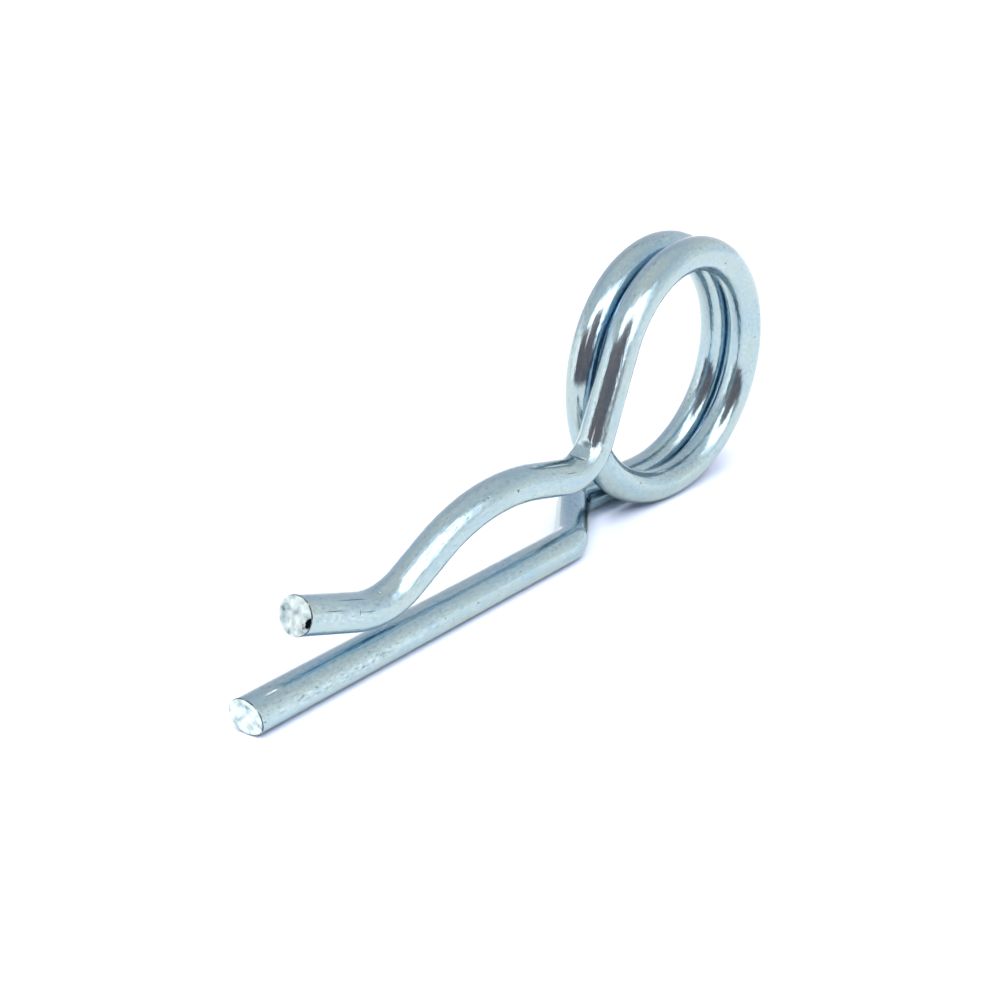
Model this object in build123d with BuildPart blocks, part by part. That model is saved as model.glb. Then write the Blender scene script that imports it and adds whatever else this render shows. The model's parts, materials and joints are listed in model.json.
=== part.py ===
"""Hitch R clip: one round spring wire, with a straight leg, a double coil and a wavy sprung leg.

The straight leg goes through the cross hole of a shaft or a hitch pin. The wavy leg snaps over the
outside of that shaft and holds it under the crest. The coil is the spring, and the eye to pull on.
"""
import os
from math import cos, radians, sin, tan

from build123d import *

os.makedirs("parts", exist_ok=True)

# Wire
wire_diameter = 4.0
rim_bevel = 0.25  # bevel that breaks the rim of each cropped end

# Double coil, wound about Y, from the foot of the rear turn to the strand in front
coil_bore = 24.8  # clear width of the eye
coil_gap = 0.4  # daylight between the two turns
coil_degrees = 601.5  # winding from the foot of the rear turn to the tangent of the strand
coil_bends = 14  # equal arcs that the winding is bent in, each tilted along the coil's axis
strand_set = 1.0  # the strand leaves the coil this far in front of the straight leg's plane

# Straight leg, along X, level with the foot of the coil
leg_reach = 65.5  # from the coil's axis to the end face
joggle_near = 11.8  # corner where the wire leaves the line of the rear turn, from the coil's axis
joggle_far = 20.2  # corner where it takes up the line of the straight leg, from the coil's axis
joggle_radius = 3.0

# Wavy leg, with heights from the straight leg's axis to the corners of its centre line
kink_height = 8.8
kink_radius = 5.2
crest_out = 15.7  # from the kink's corner to the crest's corner
crest_height = 12.3
crest_radius = 19.4
descent_degrees = 31.0
dip_gap = 0.85  # daylight left between the dip and the straight leg
dip_radius = 7.6
flare_degrees = 20.2
flare_length = 10.7  # from the dip's corner to the end face
heading_degrees = 2.4  # turn that brings the wavy leg back over the straight one

# Sizes that follow
wire_radius = wire_diameter / 2
coil_radius = (coil_bore + wire_diameter) / 2
coil_pitch = wire_diameter + coil_gap
coil_width = coil_pitch * coil_degrees / 360
bend_angle = radians(coil_degrees / coil_bends)
bend_width = coil_width / coil_bends
coil_slope = bend_width / (2 * coil_radius * tan(bend_angle / 2))  # where two bends meet
leg_level = -coil_radius

# Corners of the straight leg: its lead runs along the coil's tangent at the foot of the rear turn
coil_foot = Vector(0, coil_width - strand_set, leg_level)
lead_corner = Vector(-joggle_near, coil_foot.Y + joggle_near * coil_slope, leg_level)
leg_corner = Vector(-joggle_far, 0, leg_level)
leg_end = Vector(-leg_reach, 0, leg_level)


def coil_point(bends):
    """Point of the coil's centre line, so many bends on from the foot of the rear turn."""
    angle = bends * bend_angle
    across = coil_foot.Y - bends * bend_width
    return Vector(coil_radius * sin(angle), across, -coil_radius * cos(angle))


def coil_way(bends):
    """Direction of the wire, so many bends on from the foot of the rear turn."""
    angle = bends * bend_angle
    return Vector(cos(angle), -coil_slope, sin(angle))


# The strand runs down from the coil along its tangent, to the kink
strand_top = coil_point(coil_bends)
strand_way = coil_way(coil_bends)
kink_corner = strand_top + strand_way * ((leg_level + kink_height - strand_top.Z) / strand_way.Z)


def wavy_corner(out, height):
    """Corner of the wavy leg, so far out from the kink and so high above the straight leg's axis."""
    heading = radians(heading_degrees)
    step = Vector(-out * cos(heading), out * sin(heading), leg_level + height - kink_corner.Z)
    return kink_corner + step


# The dip's bend lifts the wire off its corner, so the corner lies that much below the lowest axis
descent = radians(descent_degrees)
flare = radians(flare_degrees)
dip_lift = dip_radius * (cos((descent - flare) / 2) / cos((descent + flare) / 2) - 1)
dip_height = wire_diameter + dip_gap - dip_lift
dip_out = crest_out + (crest_height - dip_height) / tan(descent)
flare_out = dip_out + flare_length * cos(flare)
flare_height = dip_height + flare_length * sin(flare)

# The whole wire, bent from end to end along one centre line
with BuildPart() as clip:
    with BuildLine() as centre_line:
        FilletPolyline(
            leg_end,
            leg_corner,
            lead_corner,
            coil_foot,
            radius=joggle_radius,
        )
        for bend in range(coil_bends):
            TangentArc(coil_point(bend), coil_point(bend + 1), tangent=coil_way(bend))
        FilletPolyline(
            strand_top,
            kink_corner,
            wavy_corner(crest_out, crest_height),
            wavy_corner(dip_out, dip_height),
            wavy_corner(flare_out, flare_height),
            radius=(kink_radius, crest_radius, dip_radius),
        )
    with BuildSketch(Plane(origin=leg_end, z_dir=(1, 0, 0))):
        Circle(wire_radius)
    sweep()
    chamfer(clip.faces().filter_by(GeomType.PLANE).edges(), length=rim_bevel)

# The clip stands on its leg and the foot of its coil, centred over the origin
box = clip.part.bounding_box()
clip.part.move(Location((-box.center().X, -box.center().Y, -box.min.Z)))

clip.part.label = "wire"
export_step(clip.part, "parts/wire.step")
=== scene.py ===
"""Hitch R clip of bright zinc-plated spring wire, standing on a white table under soft studio light.

The file is laid out as an add-on. The wire is fed and bent from end to end as a wire bender does it,
then marked by the tools, cropped at both ends and plated. The stage is a floor, cards and a camera.
"""
import json
from math import atan2, ceil, cos, pi, radians, sin, tan

import bmesh
import bpy
from bpy.props import FloatProperty, FloatVectorProperty, IntProperty, PointerProperty
from mathutils import Matrix, Vector, noise


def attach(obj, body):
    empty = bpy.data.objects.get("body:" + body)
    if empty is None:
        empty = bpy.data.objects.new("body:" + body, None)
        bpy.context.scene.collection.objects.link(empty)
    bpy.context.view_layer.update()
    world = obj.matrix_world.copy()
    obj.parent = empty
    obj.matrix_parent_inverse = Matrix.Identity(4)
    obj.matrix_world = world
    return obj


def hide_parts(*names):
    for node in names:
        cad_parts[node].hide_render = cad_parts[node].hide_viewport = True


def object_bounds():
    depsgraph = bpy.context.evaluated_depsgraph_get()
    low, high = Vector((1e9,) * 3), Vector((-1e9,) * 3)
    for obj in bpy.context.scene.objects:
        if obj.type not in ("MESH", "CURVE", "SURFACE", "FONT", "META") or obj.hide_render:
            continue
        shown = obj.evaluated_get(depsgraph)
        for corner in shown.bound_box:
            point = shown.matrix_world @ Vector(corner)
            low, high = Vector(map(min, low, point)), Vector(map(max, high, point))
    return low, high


bl_info = {
    "name": "Hitch R Clip",
    "version": (1, 0, 0),
    "blender": (4, 5, 0),
    "location": "View3D > Sidebar > R Clip",
    "description": "Bends, crops and plates a spring wire R clip and sets it on a white table",
    "category": "Object",
}

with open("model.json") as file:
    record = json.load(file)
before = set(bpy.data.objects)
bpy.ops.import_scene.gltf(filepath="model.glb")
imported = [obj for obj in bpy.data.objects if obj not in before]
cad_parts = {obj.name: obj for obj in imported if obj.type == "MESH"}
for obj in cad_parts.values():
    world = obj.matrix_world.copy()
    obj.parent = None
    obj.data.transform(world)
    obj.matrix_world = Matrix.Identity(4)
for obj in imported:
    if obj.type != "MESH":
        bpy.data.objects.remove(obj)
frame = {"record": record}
cad_low, cad_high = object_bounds()
straight_leg = next(m for m in frame["record"]["mounts"] if m["name"] == "straight_leg")
MM = 0.001


def linear(hex_colour):
    """Linear RGB of an sRGB hex colour."""
    shares = [int(hex_colour[i : i + 2], 16) / 255 for i in (1, 3, 5)]
    return [c / 12.92 if c <= 0.04045 else ((c + 0.055) / 1.055) ** 2.4 for c in shares]


def length(name, description, millimetres):
    """Property for a length, given in millimetres and kept in metres."""
    return FloatProperty(
        name=name, description=description, default=millimetres * MM, unit="LENGTH", precision=4
    )


def angle(name, description, turn):
    """Property for an angle, given in degrees and kept in radians."""
    return FloatProperty(name=name, description=description, default=radians(turn), subtype="ANGLE")


def colour(name, description, hex_colour):
    """Property for a colour, given as sRGB hex and kept linear."""
    return FloatVectorProperty(
        name=name, description=description, default=linear(hex_colour), subtype="COLOR", min=0, max=1
    )


def share(name, description, value):
    """Property for a plain number, such as a share or a strength."""
    return FloatProperty(name=name, description=description, default=value, min=0)


class ClipWireSettings(bpy.types.PropertyGroup):
    """Sizes of the bent wire. Heights are from the straight leg's axis to corners of the centre line."""

    wire_diameter: length("Wire diameter", "Diameter of the spring wire", 4.0)
    coil_bore: length("Coil bore", "Clear width of the coil's eye", 24.8)
    coil_gap: length("Coil gap", "Daylight between the two turns", 0.4)
    coil_turn: angle("Coil turn", "Winding from the foot of the rear turn to the strand", 601.5)
    strand_set: length("Strand set", "How far the strand stands in front of the straight leg", 1.0)
    leg_reach: length("Leg reach", "From the coil's axis to the straight leg's end face", 65.5)
    joggle_near: length("Joggle near", "From the coil's axis to the joggle's corner by the coil", 11.8)
    joggle_far: length("Joggle far", "From the coil's axis to the joggle's corner on the leg", 20.2)
    joggle_radius: length("Joggle radius", "Bend radius of the joggle", 3.0)
    kink_height: length("Kink height", "Height of the kink's corner", 8.8)
    kink_radius: length("Kink radius", "Bend radius where the strand turns into the wavy leg", 5.2)
    crest_out: length("Crest out", "From the kink's corner to the crest's corner", 15.7)
    crest_height: length("Crest height", "Height of the crest's corner", 12.3)
    crest_radius: length("Crest radius", "Bend radius over the shaft's seat", 19.4)
    descent: angle("Descent", "Slope of the wavy leg from the crest to the dip", 31.0)
    dip_gap: length("Dip gap", "Daylight left between the dip and the straight leg", 0.85)
    dip_radius: length("Dip radius", "Bend radius of the dip", 7.6)
    flare: angle("Flare", "Slope of the wavy leg's free end", 20.2)
    flare_length: length("Flare length", "From the dip's corner to the end face", 10.7)
    heading: angle("Heading", "Turn that brings the wavy leg over the straight one", 2.4)
    slant: angle("Slant", "Turn of the shear's cut from square, with more wire left at the back", 12)
    rim: length("Rim", "Radius that the shear leaves on the rims", 0.07)
    leg_roll: length("Leg roll", "How far the shear rolled the straight leg's rim over", 0.3)
    tip_roll: length("Tip roll", "How far the shear rolled the wavy leg's rim over", 0.1)
    tear_depth: length("Tear depth", "Depth of the tear by the wavy leg's rim", 0.45)
    sides: IntProperty(name="Sides", description="Faces round the wire", default=96, min=24)
    ring_step: length("Ring step", "Longest wire between two rings of faces", 0.8)
    ring_turn: angle("Ring turn", "Largest turn between two rings of faces", 3.0)


class ClipFinishSettings(bpy.types.PropertyGroup):
    """Colours and gloss of the plated wire."""

    zinc: colour("Zinc", "Bright zinc under a clear blue passivate", "#A7BECB")
    zinc_cool: colour("Cool zinc", "Zinc where the passivate is thickest", "#9CB8CD")
    # Painted blue shade between the coil's turns and on the lead into the coil
    shade_blue: colour("Blue zinc", "Passivate that stood in narrow places as the wire drained", "#7CA6C4")
    zinc_grey: colour("Grey zinc", "Zinc where the passivate is thinnest", "#ACBEC4")
    scuff: colour("Scuff", "Specks where handling has dulled the plate", "#72808A")
    shine: colour("Shine", "Specks where handling has polished the plate", "#C4D6DC")
    # Also the colour of the painted shade marks and of the painted dark line on the sheared rims
    pit_and_shade: colour("Pit", "Pits and scratches where the plate has no shine", "#2A343E")
    # White of the painted glints, two of them on nicks
    bright: colour("Fresh zinc", "Zinc that a knock has just laid bare", "#E4EEF0")
    sheared: colour("Sheared face", "Dull plate on the sheared end faces", "#DAEBF0")
    # Painted shade in the lower half of the tear by the wavy leg's rim
    torn: colour("Torn steel", "Bare steel in the tear on the rim", "#15191E")
    roughness: share("Roughness", "Roughness of the bright plate", 0.11)


class ClipStageSettings(bpy.types.PropertyGroup):
    """Camera, floor and light."""

    camera_place: FloatVectorProperty(
        name="Camera place",
        description="Where the camera stands",
        default=(-94.532 * MM, -89.163 * MM, 69.972 * MM),
        subtype="TRANSLATION",
        precision=5,
    )
    camera_turn: FloatVectorProperty(
        name="Camera turn",
        description="The camera's turn about X, Y and Z",
        default=(radians(64.5778), radians(1.9366), radians(-46.2897)),
        subtype="EULER",
    )
    camera_lens: FloatProperty(
        name="Lens", description="Focal length on a 36 mm sensor", default=46.8, unit="CAMERA"
    )
    floor_half: length("Floor half width", "From the middle of the floor to its edge", 3000)
    card_distance: length("Card distance", "From the clip to the cards round it", 700)
    floor_colour: colour("Floor colour", "White table top", "#F7F7F5")
    room_strength: share("Room strength", "Brightness of the room in the wire", 1.25)
    floor_seen: colour("Floor as seen", "The table's cool white, which shows in its shadows", "#DAE1F6")
    floor_lift: share("Floor lift", "How much brighter the floor shows than it lights the wire", 1.35)
    fill_colour: colour("Fill colour", "Soft light in the shadows on the floor", "#C8D2E2")
    fill_strength: share("Fill strength", "Brightness of the light in the shadows on the floor", 0.33)
    lamp_strength: share("Lamp strength", "Brightness of the window's light on the floor", 4.3)
    lamp_bearing: angle("Lamp bearing", "Where the window's light goes, from +Y towards +X", 30)
    lamp_height: angle("Lamp height", "How steeply the window's light falls", 72)
    lamp_spread: angle("Lamp spread", "How wide the window looks from the floor", 70)
    window_strength: share("Window strength", "Brightness of the window cards", 3.2)


# Marks of tools and handling, and painted light: millimetres along the wire, degrees round it from the
# front of the straight leg, half length, half width and depth in millimetres, and how the plate shows
# there.
# Bright marks are painted glints, two of them on nicks; dark ones are dull pits and scratches, and two are
# painted shade; blue ones are painted blue shade; worn ones are scuffed
MARKS = (
    # Nick by the straight leg's end, painted white as a glint
    (2.5, -64, 1.0, 0.17, 0.09, "bright"),
    (0.62, -1, 0.3, 0.12, 0.05, "dark"),
    (23.6, -16, 0.14, 0.12, 0.03, "dark"),
    (28.3, -10, 0.2, 0.1, 0.03, "dark"),
    # Nick by the joggle, painted white as a glint
    (46.6, -49, 0.8, 0.14, 0.06, "bright"),
    # Painted shade on the lead into the coil, which mirrors the shadowed floor
    (58.5, -14, 6, 0.55, 0, "dark"),
    # Painted glint on the rear turn's edge
    (128.4, 63, 1.7, 0.13, 0, "bright"),
    (150.8, -22, 0.16, 0.14, 0.03, "dark"),
    # Painted glint low inside the coil
    (156.5, -72, 1.6, 0.1, 0.02, "bright"),
    (197.8, -19, 0.2, 0.18, 0.04, "dark"),
    # Painted glints on the strand, by the kink
    (217.6, 71, 1.5, 0.11, 0, "bright"),
    (229.4, 66, 1.7, 0.12, 0.01, "bright"),
    # Painted dark reflection on the inner side of the kink
    (230.7, 79, 0.75, 0.95, 0, "dark"),
    # Painted glints on the crease of the kink's pressed flat
    (233.2, 62, 0.24, 0.65, 0.02, "bright"),
    (234.4, 77, 0.3, 0.24, 0.02, "bright"),
    (236.8, 30, 1.3, 0.07, 0.02, "dark"),
    # Painted glints along the wavy leg's top, by the kink
    (238.5, 62, 2.8, 0.15, 0.02, "bright"),
    (241.3, 75, 0.5, 0.2, 0.02, "bright"),
    (244.8, 15, 0.2, 0.26, 0.05, "dark"),
    (248.4, 41, 0.18, 0.12, 0.03, "dark"),
    # Painted glint on the dip's crease
    (264.0, 65, 0.14, 0.3, 0.04, "bright"),
    (266.4, 20, 1.25, 0.06, 0.03, "dark"),
    (267.6, 19, 0.1, 0.36, 0.03, "dark"),
    (268.1, 57, 2.5, 0.08, 0.03, "dark"),
    (270.6, 27, 1.8, 0.07, 0.03, "dark"),
    # Painted blue shade on the lead into the coil, and between the coil's turns
    (52.5, -80, 7, 2.6, 0, "blue"),
    (57.5, 0, 8, 2.2, 0, "blue"),
    (112, 8, 52, 1.7, 0, "blue"),
    (185, 180, 46, 1.7, 0, "blue"),
    (185, -180, 46, 1.7, 0, "blue"),
    (11, -8, 14, 0.8, 0, "worn"),
    (255, 38, 9, 0.9, 0, "worn"),
    (269.5, 4, 6, 0.75, 0, "worn"),
)

# Flats that the bending tool pressed: millimetres along the wire, and how deep it went there
KINK_FLAT = ((229.6, 0), (231.2, 0.3), (233.4, 0.42), (233.9, 0.16), (235.2, 0))
DIP_FLAT = ((262.4, 0), (263.6, 0.12), (264.0, 0.03), (264.8, 0))


def add_node(tree, kind, inputs=None, **settings):
    """Adds a node with its settings. Each input gets a value, or a link from a socket or a node."""
    node = tree.nodes.new(kind)
    for field, value in settings.items():
        setattr(node, field, value)
    for socket, value in (inputs or {}).items():
        if isinstance(value, bpy.types.Node):
            value = next(end for end in value.outputs if end.enabled)
        if isinstance(value, bpy.types.NodeSocket):
            tree.links.new(value, node.inputs[socket])
        else:
            node.inputs[socket].default_value = value
    return node


def new_material(name):
    """Empty node material, with its output node."""
    material = bpy.data.materials.new(name)
    material.use_nodes = True
    material.node_tree.nodes.clear()
    return material, material.node_tree, material.node_tree.nodes.new("ShaderNodeOutputMaterial")


def rgba(values):
    """Colour with full alpha, as colour sockets take it."""
    return (*values, 1.0)


class WireBender:
    """Feeds a ring of the wire's outline along and bends it, as the machine that makes the clip does.

    Each point keeps its place on the straight wire: how far along, and where on the round.
    """

    def __init__(self, start, way, radius, sides, ring_step, ring_turn):
        self.mesh = bmesh.new()
        self.straight = self.mesh.verts.layers.float_vector.new("straight_wire")
        # Marks where shade is painted in the tear by the wavy leg's rim
        self.tear_shade = self.mesh.verts.layers.float.new("tear_shade_mask")
        self.at, self.way = start, way
        self.radius, self.sides = radius, sides
        self.ring_step, self.ring_turn = ring_step, ring_turn
        facing = Matrix.Translation(start) @ way.to_track_quat("Z", "Y").to_matrix().to_4x4()
        bmesh.ops.create_circle(self.mesh, segments=sides, radius=radius, matrix=facing)
        for vert in self.mesh.verts:
            vert[self.straight] = (0, vert.co.y - start.y, vert.co.z - start.z)
        self.ring = self.mesh.verts[:] + self.mesh.edges[:]
        self.runs = [0.0]

    def spin(self, wire, steps, **how):
        """Carries the last ring on over so much wire, by Blender's spin."""
        made = bmesh.ops.spin(self.mesh, geom=self.ring, steps=steps, **how)
        self.ring = [e for e in made["geom_last"] if not isinstance(e, bmesh.types.BMFace)]
        self.runs += [self.runs[-1] + wire * (step + 1) / steps for step in range(steps)]

    def feed(self, wire):
        """Feeds so much wire straight on."""
        steps = ceil(wire / self.ring_step)
        self.spin(wire, steps, axis=self.way, angle=0, dvec=self.way * wire / steps)
        self.at = self.at + self.way * wire

    def bend(self, axis, turn, radius, shift=0):
        """Bends the wire about an axis, and carries it so far along that axis, as a coil needs it."""
        axis = axis.normalized()
        centre = self.at + axis.cross(self.way).normalized() * radius
        wire = ((radius * turn) ** 2 + shift**2) ** 0.5
        steps = ceil(max(wire / self.ring_step, turn / self.ring_turn))
        self.spin(wire, steps, cent=centre, axis=axis, angle=turn, dvec=axis * shift / steps)
        rotation = Matrix.Rotation(turn, 3, axis)
        self.at = centre + rotation @ (self.at - centre) + axis * shift
        self.way = rotation @ self.way

    def follow(self, corners, radii):
        """Runs to the last of the corners of a centre line, with a bend at each of the others."""
        for corner, beyond, radius in zip(corners, corners[1:], radii):
            turn = self.way.angle(beyond - corner)
            self.feed((corner - self.at).length - radius * tan(turn / 2))
            self.bend(self.way.cross(beyond - corner), turn, radius)
        self.feed((corners[-1] - self.at).length)

    def measure(self):
        """Writes on each point how far along the wire it lies. Rings come in the order of their making."""
        for number, vert in enumerate(self.mesh.verts):
            vert[self.straight].x = self.runs[number // self.sides]


def bend_clip(clip):
    """Bends the whole wire, from the straight leg's end round the coil to the wavy leg's end."""
    wire_radius = clip.wire_diameter / 2
    coil_radius = clip.coil_bore / 2 + wire_radius
    coil_pitch = clip.wire_diameter + clip.coil_gap
    coil_width = coil_pitch * clip.coil_turn / (2 * pi)
    slope = coil_pitch / (2 * pi * coil_radius)
    coil_top = coil_radius + wire_radius
    coil_axis = Vector((cad_high.x - coil_top, straight_leg["pos_m"][1], coil_top))

    def place(x, y, z):
        """Point from the coil's axis, in the plane of the straight leg."""
        return coil_axis + Vector((x, y, z))

    # Straight leg, joggle and the lead into the rear turn
    foot_y = coil_width - clip.strand_set
    leg_end = place(-clip.leg_reach, 0, -coil_radius)
    leg_corner = place(-clip.joggle_far, 0, -coil_radius)
    lead_corner = place(-clip.joggle_near, foot_y + clip.joggle_near * slope, -coil_radius)
    coil_foot = place(0, foot_y, -coil_radius)
    wire = WireBender(
        leg_end, Vector((1, 0, 0)), wire_radius, clip.sides, clip.ring_step, clip.ring_turn
    )
    wire.follow([leg_corner, lead_corner, coil_foot], [clip.joggle_radius] * 2)

    # Double coil
    wire.bend(Vector((0, -1, 0)), clip.coil_turn, coil_radius, coil_width)

    # Strand, kink, crest, dip and flared end
    leg_z = wire_radius
    kink = wire.at + wire.way * ((leg_z + clip.kink_height - wire.at.z) / wire.way.z)

    def corner(out, height):
        """Corner of the wavy leg, so far out from the kink and so high above the straight leg's axis."""
        back, across = out * cos(clip.heading), out * sin(clip.heading)
        return Vector((kink.x - back, kink.y + across, leg_z + height))

    half_sum, half_difference = (clip.descent + clip.flare) / 2, (clip.descent - clip.flare) / 2
    dip_lift = clip.dip_radius * (cos(half_difference) / cos(half_sum) - 1)
    dip_height = clip.wire_diameter + clip.dip_gap - dip_lift
    dip_out = clip.crest_out + (clip.crest_height - dip_height) / tan(clip.descent)
    tip_out = dip_out + clip.flare_length * cos(clip.flare)
    tip_height = dip_height + clip.flare_length * sin(clip.flare)
    crest, dip, tip = (
        corner(clip.crest_out, clip.crest_height),
        corner(dip_out, dip_height),
        corner(tip_out, tip_height),
    )
    wire.follow([kink, crest, dip, tip], [clip.kink_radius, clip.crest_radius, clip.dip_radius])
    wire.measure()
    return wire, leg_end


def press_flat(wire, side, depths):
    """Presses a flat on one side of the wire, as deep as the bending tool went at each place along it."""
    wire.mesh.verts.ensure_lookup_table()
    side = Vector((-cos(radians(side)), -sin(radians(side))))
    for number, run in enumerate(wire.runs):
        for (before, shallow), (after, deep) in zip(depths, depths[1:]):
            if before * MM <= run < after * MM:
                share_on = (run / MM - before) / (after - before)
                level = wire.radius - (shallow + (deep - shallow) * share_on) * MM
                ring = wire.mesh.verts[number * wire.sides : (number + 1) * wire.sides]
                centre = sum((v.co for v in ring), Vector()) / wire.sides
                top = max(ring, key=lambda v: v[wire.straight].yz.dot(side))
                out = (top.co - centre).normalized()
                for vert in ring:
                    vert.co -= out * max(0, vert[wire.straight].yz.dot(side) - level)


def crop_end(wire, clip, edges, end, outward, rolled_way, roll, tear=None):
    """Closes an end as the shear leaves it: a rim, rolled over on the side it went in, and a torn face.

    The cut is a little off square, so more wire is left at the back. A tear by the rim is given by its
    direction from the middle. Its lower half is marked to be painted dark, as shade.
    """
    radius = wire.radius
    rings = [(radians(30 * k), 1) for k in range(4)] + [(radians(90), k / 14) for k in range(13, 0, -1)]

    def torn(place):
        """How deep a place on the face lies in the tear, from 0 to 1, and how high up in it."""
        spoke = place - end
        spoke -= outward * spoke.dot(outward)
        up = outward.cross(tear)
        turn = atan2(spoke.dot(up), spoke.dot(tear))
        return max(0, 1 - ((spoke.length / radius - 0.76) / 0.2) ** 2 - (turn / 0.62) ** 2), turn

    for number, (turn, reach) in enumerate(rings):
        faces = []
        if number:
            made = bmesh.ops.extrude_edge_only(wire.mesh, edges=edges)["geom"]
            fresh = {e for e in made if isinstance(e, bmesh.types.BMVert)}
            edges = [e for e in made if isinstance(e, bmesh.types.BMEdge) and fresh.issuperset(e.verts)]
            faces = [e for e in made if isinstance(e, bmesh.types.BMFace)]
        verts = {v for e in edges for v in e.verts}
        for vert in verts:
            spoke = vert.co - end
            spoke = (spoke - outward * spoke.dot(outward)).normalized()
            side = max(0, spoke.dot(rolled_way))
            edge = clip.rim * (1 + 0.9 * noise.noise(spoke * 9)) + roll * side * side
            across = (radius - edge * (1 - cos(turn))) * reach
            ripple = noise.noise(spoke * across / (0.8 * MM)) * 0.05 * MM * (1 - reach)
            left = across * spoke.y * tan(clip.slant)
            vert.co = end + spoke * across + outward * (left + ripple - edge * (1 - sin(turn)))
            straight = vert[wire.straight]
            vert[wire.straight] = (straight.x, *(straight.yz.normalized() * across))
        if number in (0, 3):
            for border in edges:
                border.smooth = False
        for face in faces:
            face.material_index = 1
        if tear:
            for vert in verts:
                depth, height = torn(vert.co)
                # The tear's lower half is marked for painted shade
                vert[wire.tear_shade] = depth * min(1, max(0, 0.6 - height / 0.3))
                vert.co -= outward * clip.tear_depth * depth**0.5
    lid = bmesh.ops.contextual_create(wire.mesh, geom=edges)["faces"][0]
    lid.material_index = 1


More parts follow.
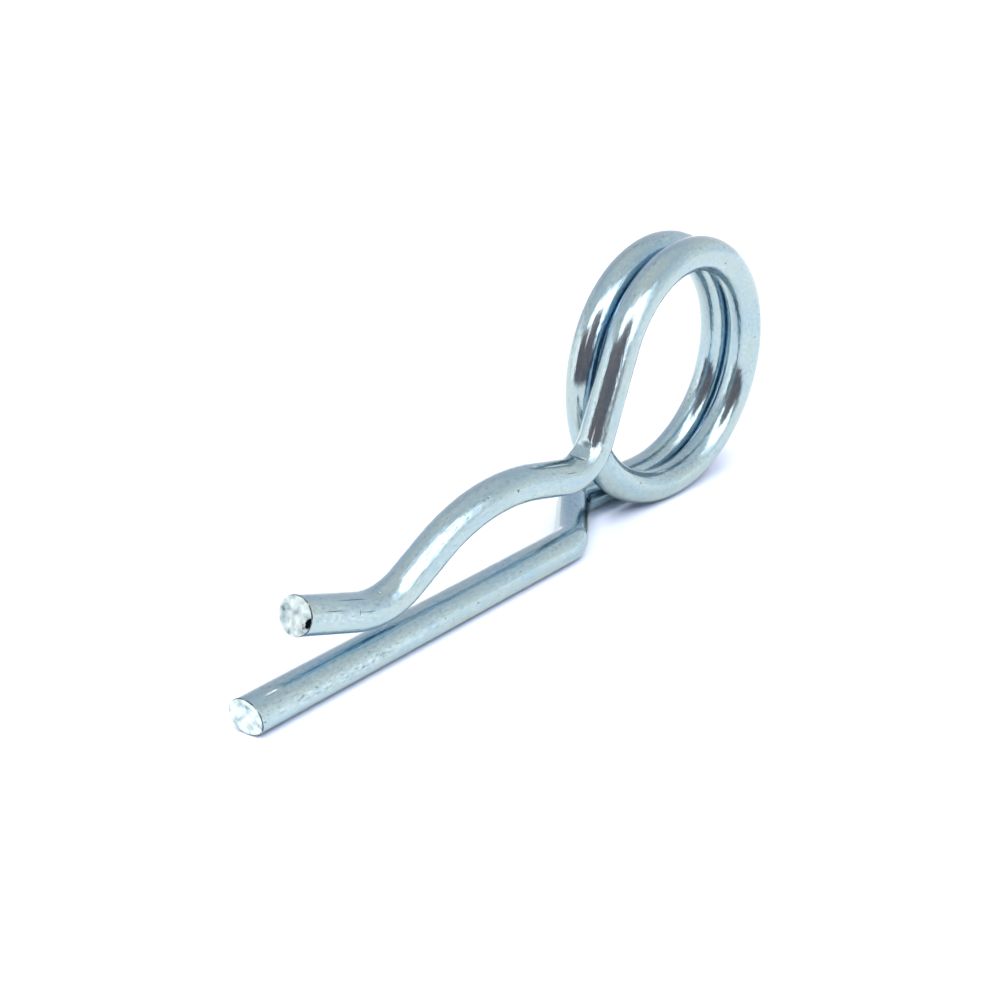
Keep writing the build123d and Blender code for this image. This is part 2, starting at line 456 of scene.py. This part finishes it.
def zinc_plate(finish, radius):
    """Bright zinc plate, electroplated on drawn wire and passivated clear blue.

    It mirrors softly, with a cool tint. Drawing lines and a fine grain in it make the edges of what it
    mirrors ragged. Handling has worn it in patches and left scratches and a few pits. Glints, shade and
    blue shade between the coil's turns are painted on it as marks.
    """
    material, tree, output = new_material("bright_zinc_plate")
    spot = add_node(tree, "ShaderNodeAttribute", attribute_name="straight_wire").outputs["Vector"]

    # Noises on the wire, with their length and width in millimetres. The drawing lines and the grain
    # are finer than this in truth, and are drawn as coarse as they need to show
    noises = {}
    for name, long, wide, detail in (
        ("tint", 6, 1.6, 3.0),
        ("lines", 9, 0.12, 2.0),
        ("grain", 1.1, 0.2, 2.0),
        ("waves", 4, 1.2, 1.0),
        ("patches", 5, 1.5, 2.0),
        ("specks", 0.55, 0.3, 4.0),
    ):
        stretch = [1 / (size * MM) for size in (long, wide, wide)]
        placed = add_node(tree, "ShaderNodeVectorMath", {0: spot, 1: stretch}, operation="MULTIPLY")
        noises[name] = add_node(
            tree, "ShaderNodeTexNoise", {"Vector": placed, "Scale": 1.0, "Detail": detail}
        )

    # Marks, each a long or round spot on the unrolled wire
    turned = add_node(tree, "ShaderNodeVectorMath", {0: spot, "Scale": -1.0}, operation="SCALE")
    turned = add_node(tree, "ShaderNodeSeparateXYZ", {0: turned})
    turned = add_node(
        tree, "ShaderNodeMath", {0: turned.outputs["Z"], 1: turned.outputs["Y"]}, operation="ARCTAN2"
    )
    along_wire = add_node(tree, "ShaderNodeSeparateXYZ", {0: spot}).outputs["X"]
    unrolled = add_node(tree, "ShaderNodeCombineXYZ", {"X": along_wire, "Y": turned})
    dents, shown = 0.0, {"bright": 0.0, "dark": 0.0, "worn": 0.0, "blue": 0.0}
    for along, round_angle, half_long, half_wide, depth, kind in MARKS:
        middle = (along * MM, radians(round_angle), 0)
        stretch = (1 / (half_long * MM), radius / (half_wide * MM), 0)
        away = add_node(tree, "ShaderNodeVectorMath", {0: unrolled, 1: middle}, operation="SUBTRACT")
        away = add_node(tree, "ShaderNodeVectorMath", {0: away, 1: stretch}, operation="MULTIPLY")
        away = add_node(tree, "ShaderNodeVectorMath", {0: away}, operation="LENGTH")
        mark = add_node(
            tree,
            "ShaderNodeMapRange",
            {"Value": away, "From Min": 1.0, "From Max": 0.25},
            interpolation_type="SMOOTHSTEP",
        )
        shown[kind] = add_node(tree, "ShaderNodeMath", {0: mark, 1: shown[kind]}, operation="MAXIMUM")
        if depth:
            dents = add_node(
                tree, "ShaderNodeMath", {0: mark, 1: depth, 2: dents}, operation="MULTIPLY_ADD"
            )

    # Passivate: soft drifts of tint, and painted blue shade between the coil's turns and on the lead into
    # the coil
    zinc = add_node(tree, "ShaderNodeValToRGB", {"Fac": noises["tint"]})
    ramp = zinc.color_ramp.elements
    ramp[0].position, ramp[0].color = 0.32, rgba(finish.zinc_cool)
    ramp[1].position, ramp[1].color = 0.68, rgba(finish.zinc_grey)
    ramp.new(0.5).color = rgba(finish.zinc)
    blue_shade_mask = add_node(tree, "ShaderNodeMath", {0: shown["blue"], 1: 0.75}, operation="MULTIPLY")
    zinc = add_node(
        tree, "ShaderNodeMix", {"Factor": blue_shade_mask, "A": zinc, "B": rgba(finish.shade_blue)}, data_type="RGBA"
    )

    # Wear: pale and dark specks, faint all over and plain in patches
    specks = add_node(tree, "ShaderNodeValToRGB", {"Fac": noises["specks"]})
    ramp = specks.color_ramp.elements
    ramp[0].position, ramp[0].color = 0.3, rgba(finish.scuff)
    ramp[1].position, ramp[1].color = 0.66, rgba(finish.shine)
    ramp.new(0.42).color = rgba(finish.zinc)
    ramp.new(0.5).color = rgba(finish.zinc)
    worn = add_node(
        tree,
        "ShaderNodeMapRange",
        {"Value": noises["patches"], "From Min": 0.4, "From Max": 0.7, "To Min": 0.15, "To Max": 0.45},
    )
    worn = add_node(tree, "ShaderNodeMath", {0: shown["worn"], 1: 0.6, 2: worn}, operation="MULTIPLY_ADD")
    zinc = add_node(tree, "ShaderNodeMix", {"Factor": worn, "A": zinc, "B": specks}, data_type="RGBA")

    # Pits 0.2 mm across and a few millimetres apart, and the dark marks, two of which are painted shade.
    # Then the bright marks, which are painted glints
    pits = add_node(tree, "ShaderNodeTexVoronoi", {"Vector": spot, "Scale": 1 / (3.4 * MM)})
    pits = add_node(tree, "ShaderNodeMapRange", {"Value": pits, "From Min": 0.04, "From Max": 0.02})
    dark = add_node(tree, "ShaderNodeMath", {0: pits, 1: shown["dark"]}, operation="MAXIMUM")
    dark = add_node(tree, "ShaderNodeMath", {0: dark, 1: 0.75}, operation="MULTIPLY")
    zinc = add_node(
        tree, "ShaderNodeMix", {"Factor": dark, "A": zinc, "B": rgba(finish.pit_and_shade)}, data_type="RGBA"
    )
    # Painted glints
    zinc = add_node(
        tree,
        "ShaderNodeMix",
        {"Factor": shown["bright"], "A": zinc, "B": rgba(finish.bright)},
        data_type="RGBA",
    )

    # Gloss: duller where the plate is worn or knocked
    gloss = add_node(
        tree, "ShaderNodeMath", {0: worn, 1: 0.14, 2: finish.roughness}, operation="MULTIPLY_ADD"
    )
    gloss = add_node(
        tree, "ShaderNodeMath", {0: shown["bright"], 1: 0.3, 2: gloss}, operation="MULTIPLY_ADD"
    )

    # Heights in millimetres
    relief = add_node(tree, "ShaderNodeMath", {0: dents, 1: -1.0}, operation="MULTIPLY")
    for name, height in (("lines", 0.003), ("grain", 0.02), ("waves", 0.02)):
        relief = add_node(
            tree, "ShaderNodeMath", {0: noises[name], 1: height, 2: relief}, operation="MULTIPLY_ADD"
        )
    surface = add_node(tree, "ShaderNodeBump", {"Height": relief, "Strength": 1.0, "Distance": MM})
    shader = add_node(
        tree,
        "ShaderNodeBsdfPrincipled",
        {"Base Color": zinc, "Metallic": 1.0, "Roughness": gloss, "Normal": surface},
    )
    tree.links.new(shader.outputs[0], output.inputs["Surface"])
    return material


def sheared_face(finish, radius):
    """Zinc over a sheared face: the torn steel under it is rough, so it is pale and dull, with specks.

    A thin broken dark line along the rim is painted shade. The lower half of the tear is painted dark as
    shade, and is rough as a cinder.
    """
    material, tree, output = new_material("zinc_on_sheared_steel")
    spot = add_node(tree, "ShaderNodeAttribute", attribute_name="straight_wire").outputs["Vector"]
    tears = add_node(tree, "ShaderNodeTexNoise", {"Vector": spot, "Scale": 1 / (0.9 * MM), "Detail": 6.0})
    tone = add_node(tree, "ShaderNodeValToRGB", {"Fac": tears})
    ramp = tone.color_ramp.elements
    ramp[0].position, ramp[0].color = 0.24, rgba(finish.pit_and_shade)
    ramp[1].position, ramp[1].color = 0.54, rgba(finish.sheared)
    ramp.new(0.36).color = rgba(finish.zinc)
    across = (0, 1 / radius, 1 / radius)
    reach = add_node(tree, "ShaderNodeVectorMath", {0: spot, 1: across}, operation="MULTIPLY")
    reach = add_node(tree, "ShaderNodeVectorMath", {0: reach}, operation="LENGTH")
    # Painted shade: a thin broken dark line along the rim
    rim_shade = add_node(tree, "ShaderNodeMapRange", {"Value": reach, "From Min": 0.94, "From Max": 0.99})
    broken = add_node(tree, "ShaderNodeMapRange", {"Value": tears, "From Min": 0.7, "From Max": 0.52})
    rim_shade = add_node(tree, "ShaderNodeMath", {0: rim_shade, 1: broken}, operation="MULTIPLY")
    tone = add_node(
        tree, "ShaderNodeMix", {"Factor": rim_shade, "A": tone, "B": rgba(finish.pit_and_shade)}, data_type="RGBA"
    )
    grit = add_node(tree, "ShaderNodeTexNoise", {"Vector": spot, "Scale": 1 / (0.35 * MM), "Detail": 4.0})
    # Painted shade: the lower half of the tear, dark and rough
    tear_shade = add_node(tree, "ShaderNodeAttribute", attribute_name="tear_shade_mask").outputs["Fac"]
    ragged = add_node(tree, "ShaderNodeMath", {0: grit, 1: 0.7, 2: tear_shade}, operation="MULTIPLY_ADD")
    tear_shade = add_node(tree, "ShaderNodeMapRange", {"Value": ragged, "From Min": 0.5, "From Max": 0.62})
    tone = add_node(
        tree, "ShaderNodeMix", {"Factor": tear_shade, "A": tone, "B": rgba(finish.torn)}, data_type="RGBA"
    )
    dull = add_node(tree, "ShaderNodeMath", {0: tear_shade, 1: 0.4, 2: 0.3}, operation="MULTIPLY_ADD")
    bumps = add_node(tree, "ShaderNodeBump", {"Height": tears, "Strength": 1.0, "Distance": 0.06 * MM})
    shader = add_node(
        tree,
        "ShaderNodeBsdfPrincipled",
        {"Base Color": tone, "Metallic": 1.0, "Roughness": dull, "Normal": bumps},
    )
    tree.links.new(shader.outputs[0], output.inputs["Surface"])
    return material


class CLIP_OT_wire(bpy.types.Operator):
    """Bend, crop and plate the wire of the clip"""

    bl_idname = "clip.wire"
    bl_label = "Wire"

    def execute(self, context):
        clip, finish = context.scene.clip_wire, context.scene.clip_finish
        wire, leg_end = bend_clip(clip)
        wire.mesh.verts.ensure_lookup_table()
        last = [e for e in wire.ring if isinstance(e, bmesh.types.BMEdge)]
        first_verts = set(wire.mesh.verts[: clip.sides])
        first = [e for e in wire.mesh.edges if first_verts.issuperset(e.verts)]
        press_flat(wire, 88, KINK_FLAT)
        press_flat(wire, 66, DIP_FLAT)
        below, behind = Vector((0, -0.2, -1)).normalized(), Vector((0, 1, -0.4)).normalized()
        crop_end(wire, clip, first, leg_end, Vector((-1, 0, 0)), below, clip.leg_roll)
        crop_end(wire, clip, last, wire.at, wire.way, behind, clip.tip_roll, Vector((0, -1, 0)))
        if not all(edge.is_manifold for edge in wire.mesh.edges):
            raise RuntimeError("The wire isn't closed")
        bmesh.ops.recalc_face_normals(wire.mesh, faces=wire.mesh.faces)
        for face in wire.mesh.faces:
            face.smooth = True
        mesh = bpy.data.meshes.new("wire_form")
        wire.mesh.to_mesh(mesh)
        wire.mesh.free()
        mesh.materials.append(zinc_plate(finish, clip.wire_diameter / 2))
        mesh.materials.append(sheared_face(finish, clip.wire_diameter / 2))
        piece = bpy.data.objects.new("plated_wire", mesh)
        context.scene.collection.objects.link(piece)
        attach(piece, "root")
        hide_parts("wire")
        return {"FINISHED"}


def glow(name, tint, strength):
    """Plain glowing card, as a softbox or a lit wall gives it."""
    material, tree, output = new_material(name)
    light = add_node(tree, "ShaderNodeEmission", {"Color": rgba(tint), "Strength": strength})
    tree.links.new(light.outputs[0], output.inputs["Surface"])
    return material


def dark_room(distance, top):
    """Unlit side of the room, slate near the floor and brown higher up, with a few pale warm things."""
    material, tree, output = new_material("dark_room")
    place = add_node(tree, "ShaderNodeTexCoord").outputs["Object"]
    height = add_node(tree, "ShaderNodeSeparateXYZ", {0: place}).outputs["Z"]
    share_up = add_node(tree, "ShaderNodeMath", {0: height, 1: top}, operation="DIVIDE")
    shade = add_node(tree, "ShaderNodeValToRGB", {"Fac": share_up})
    ramp = shade.color_ramp
    ramp.elements[0].position, ramp.elements[0].color = 0.0, rgba(linear("#6A6A78"))
    ramp.elements[1].position, ramp.elements[1].color = 1.0, rgba(linear("#AEA29B"))
    ramp.elements.new(0.55).color = rgba(linear("#8A7F82"))
    things = add_node(tree, "ShaderNodeTexNoise", {"Vector": place, "Scale": 5 / distance, "Detail": 3.0})
    things = add_node(tree, "ShaderNodeMapRange", {"Value": things, "From Min": 0.5, "From Max": 0.7})
    shade = add_node(
        tree,
        "ShaderNodeMix",
        {"Factor": things, "A": shade, "B": rgba(linear("#A38A7E"))},
        data_type="RGBA",
    )
    light = add_node(tree, "ShaderNodeEmission", {"Color": shade, "Strength": 1.0})
    tree.links.new(light.outputs[0], output.inputs["Surface"])
    return material


def curved_card(name, distance, bearings, heights, material):
    """Card bent round the clip, between two bearings from +Y towards +X and two heights, in degrees."""
    card = bmesh.new()
    low, high = (distance * tan(radians(h)) for h in heights)
    start, stop = (radians(b) for b in bearings)
    foot = Vector((distance * sin(start), distance * cos(start), low))
    edge = bmesh.ops.create_vert(card, co=foot)["vert"]
    rise = bmesh.ops.extrude_vert_indiv(card, verts=edge)["verts"]
    bmesh.ops.translate(card, verts=rise, vec=(0, 0, high - low))
    bmesh.ops.spin(
        card,
        geom=card.verts[:] + card.edges[:],
        axis=(0, 0, -1),
        cent=(0, 0, 0),
        angle=stop - start,
        steps=24,
    )
    mesh = bpy.data.meshes.new(name)
    card.to_mesh(mesh)
    card.free()
    mesh.materials.append(material)
    piece = bpy.data.objects.new(name, mesh)
    piece.visible_camera = piece.visible_diffuse = piece.visible_shadow = False
    bpy.context.scene.collection.objects.link(piece)


class CLIP_OT_stage(bpy.types.Operator):
    """Set the floor, the light and the camera"""

    bl_idname = "clip.stage"
    bl_label = "Stage"

    def execute(self, context):
        stage = context.scene.clip_stage
        context.scene.view_settings.view_transform = "Standard"

        # Floor: a white laminate table top
        floor_mesh = bmesh.new()
        bmesh.ops.create_grid(floor_mesh, x_segments=1, y_segments=1, size=stage.floor_half)
        mesh = bpy.data.meshes.new("floor")
        floor_mesh.to_mesh(mesh)
        floor_mesh.free()
        material, tree, output = new_material("white_table_top")
        seen = add_node(tree, "ShaderNodeLightPath").outputs["Is Camera Ray"]
        shown = rgba([c * stage.floor_lift for c in stage.floor_seen])
        white = add_node(
            tree,
            "ShaderNodeMix",
            {"Factor": seen, "A": rgba(stage.floor_colour), "B": shown},
            data_type="RGBA",
        )
        shader = add_node(tree, "ShaderNodeBsdfDiffuse", {"Color": white})
        tree.links.new(shader.outputs[0], output.inputs["Surface"])
        mesh.materials.append(material)
        floor = bpy.data.objects.new("floor", mesh)
        context.scene.collection.objects.link(floor)

        # Cards round the clip, by their bearings and heights: the dark side of the room up to the sills
        # of its windows, the window at its side, and pale walls
        far = stage.card_distance
        dark = dark_room(far, far * tan(radians(51)))
        window = glow("window", (1, 1, 1), stage.window_strength)
        cards = [
            ("window_edge", (-202, -191), (14, 46), glow("window_edge", (1, 1, 1), 1.7)),
            ("window_low", (-191, -180), (14, 50), window),
            ("window_side", (-180, -163), (17, 58), window),
            ("window_haze", (-160, -98), (64, 77), glow("window_haze", linear("#FAF9F6"), 1.3)),
            ("dim_side", (-185, -163), (0, 14), glow("dim_side", linear("#ACA6A8"), 1.0)),
            ("dark_room_end", (-82, -65), (0, 38), dark),
            ("pale_wall", (-65, -40), (0, 31), glow("pale_wall", linear("#FFF9F2"), 1.75)),
            ("pale_wall_far", (-40, -14), (0, 27), glow("pale_wall_far", linear("#FFFEFA"), 1.3)),
        ]
        for number, (start, stop, sill) in enumerate(
            ((-163, -150, 46), (-150, -132, 51), (-132, -114, 53), (-114, -82, 44))
        ):
            cards.append((f"dark_room_{number}", (start, stop), (0, sill), dark))
            cards.append((f"window_{number}", (start, stop), (sill, 64), window))
        for name, bearings, heights, material in cards:
            curved_card(name, far, bearings, heights, material)

        # World: white to the camera. To the rest it is a room, pale by the horizon and darker above it,
        # and bluer on the far side
        world = bpy.data.worlds.new("studio")
        world.use_nodes = True
        tree = world.node_tree
        tree.nodes.clear()
        way = add_node(tree, "ShaderNodeTexCoord").outputs["Generated"]
        up = add_node(tree, "ShaderNodeSeparateXYZ", {0: way}).outputs["Z"]
        up = add_node(tree, "ShaderNodeMath", {0: up}, operation="ARCSINE")
        up = add_node(tree, "ShaderNodeMath", {0: up, 1: pi / 2}, operation="DIVIDE")
        room = add_node(tree, "ShaderNodeValToRGB", {"Fac": up})
        ramp = room.color_ramp.elements
        ramp[0].position, ramp[0].color = 0.0, rgba(linear("#FFFBF6"))
        ramp[1].position, ramp[1].color = 1.0, rgba(linear("#E2E0D9"))
        for height, tone in (
            (11, "#F6F5EE"),
            (21, "#EAE9E5"),
            (31, "#E2E3DF"),
            (45, "#D3D6D4"),
            (65, "#DADAD6"),
        ):
            ramp.new(height / 90).color = rgba(linear(tone))
        bearing = radians(34)
        far_side = add_node(
            tree,
            "ShaderNodeVectorMath",
            {0: way, 1: (sin(bearing), cos(bearing), 0)},
            operation="DOT_PRODUCT",
        )
        far_side = add_node(
            tree, "ShaderNodeMapRange", {"Value": far_side, "From Min": 0.35, "From Max": 1.0}
        )
        room = add_node(
            tree,
            "ShaderNodeMix",
            {"Factor": far_side, "A": room, "B": rgba(linear("#D8DAE6"))},
            data_type="RGBA",
            blend_type="MULTIPLY",
        )
        room = add_node(tree, "ShaderNodeBackground", {"Color": room, "Strength": stage.room_strength})
        fill = add_node(
            tree,
            "ShaderNodeBackground",
            {"Color": rgba(stage.fill_colour), "Strength": stage.fill_strength},
        )
        paper = add_node(tree, "ShaderNodeBackground", {"Color": (1, 1, 1, 1), "Strength": 1.0})
        ray = add_node(tree, "ShaderNodeLightPath").outputs
        mix = add_node(tree, "ShaderNodeMixShader", {0: ray["Is Diffuse Ray"], 1: room, 2: fill})
        mix = add_node(tree, "ShaderNodeMixShader", {0: ray["Is Camera Ray"], 1: mix, 2: paper})
        output = tree.nodes.new("ShaderNodeOutputWorld")
        tree.links.new(mix.outputs[0], output.inputs["Surface"])
        context.scene.world = world

        # The window's light on the floor. The wire mirrors the window cards instead
        lamp = bpy.data.lights.new("window_light", "SUN")
        lamp.energy, lamp.angle, lamp.color = stage.lamp_strength, stage.lamp_spread, linear("#FFFBF4")
        window_light = bpy.data.objects.new("window_light", lamp)
        window_light.visible_glossy = False
        way = Vector((sin(stage.lamp_bearing), cos(stage.lamp_bearing), -tan(stage.lamp_height)))
        window_light.rotation_euler = way.to_track_quat("-Z", "Y").to_euler()
        context.scene.collection.objects.link(window_light)

        camera = bpy.data.objects.new("camera", bpy.data.cameras.new("camera"))
        camera.data.sensor_width, camera.data.lens = 36, stage.camera_lens
        camera.data.clip_start, camera.data.clip_end = 1 * MM, 20
        camera.location, camera.rotation_euler = stage.camera_place, stage.camera_turn
        context.scene.collection.objects.link(camera)
        context.scene.camera = camera
        return {"FINISHED"}


class CLIP_PT_sidebar(bpy.types.Panel):
    """Sidebar with the clip's settings and steps"""

    bl_idname = "CLIP_PT_sidebar"
    bl_label = "R Clip"
    bl_space_type = "VIEW_3D"
    bl_region_type = "UI"
    bl_category = "R Clip"

    def draw(self, context):
        steps = {"clip_wire": "clip.wire", "clip_finish": "", "clip_stage": "clip.stage"}
        for settings, step in steps.items():
            group = getattr(context.scene, settings)
            box = self.layout.box()
            for field in group.__annotations__:
                box.prop(group, field)
            if step:
                box.operator(step)


CLASSES = (
    ClipWireSettings,
    ClipFinishSettings,
    ClipStageSettings,
    CLIP_OT_wire,
    CLIP_OT_stage,
    CLIP_PT_sidebar,
)


def register():
    for cls in CLASSES:
        bpy.utils.register_class(cls)
    bpy.types.Scene.clip_wire = PointerProperty(type=ClipWireSettings)
    bpy.types.Scene.clip_finish = PointerProperty(type=ClipFinishSettings)
    bpy.types.Scene.clip_stage = PointerProperty(type=ClipStageSettings)


def unregister():
    del bpy.types.Scene.clip_stage
    del bpy.types.Scene.clip_finish
    del bpy.types.Scene.clip_wire
    for cls in reversed(CLASSES):
        bpy.utils.unregister_class(cls)


def main():
    register()
    bpy.ops.clip.wire()
    bpy.ops.clip.stage()


if __name__ == "__main__":
    main()
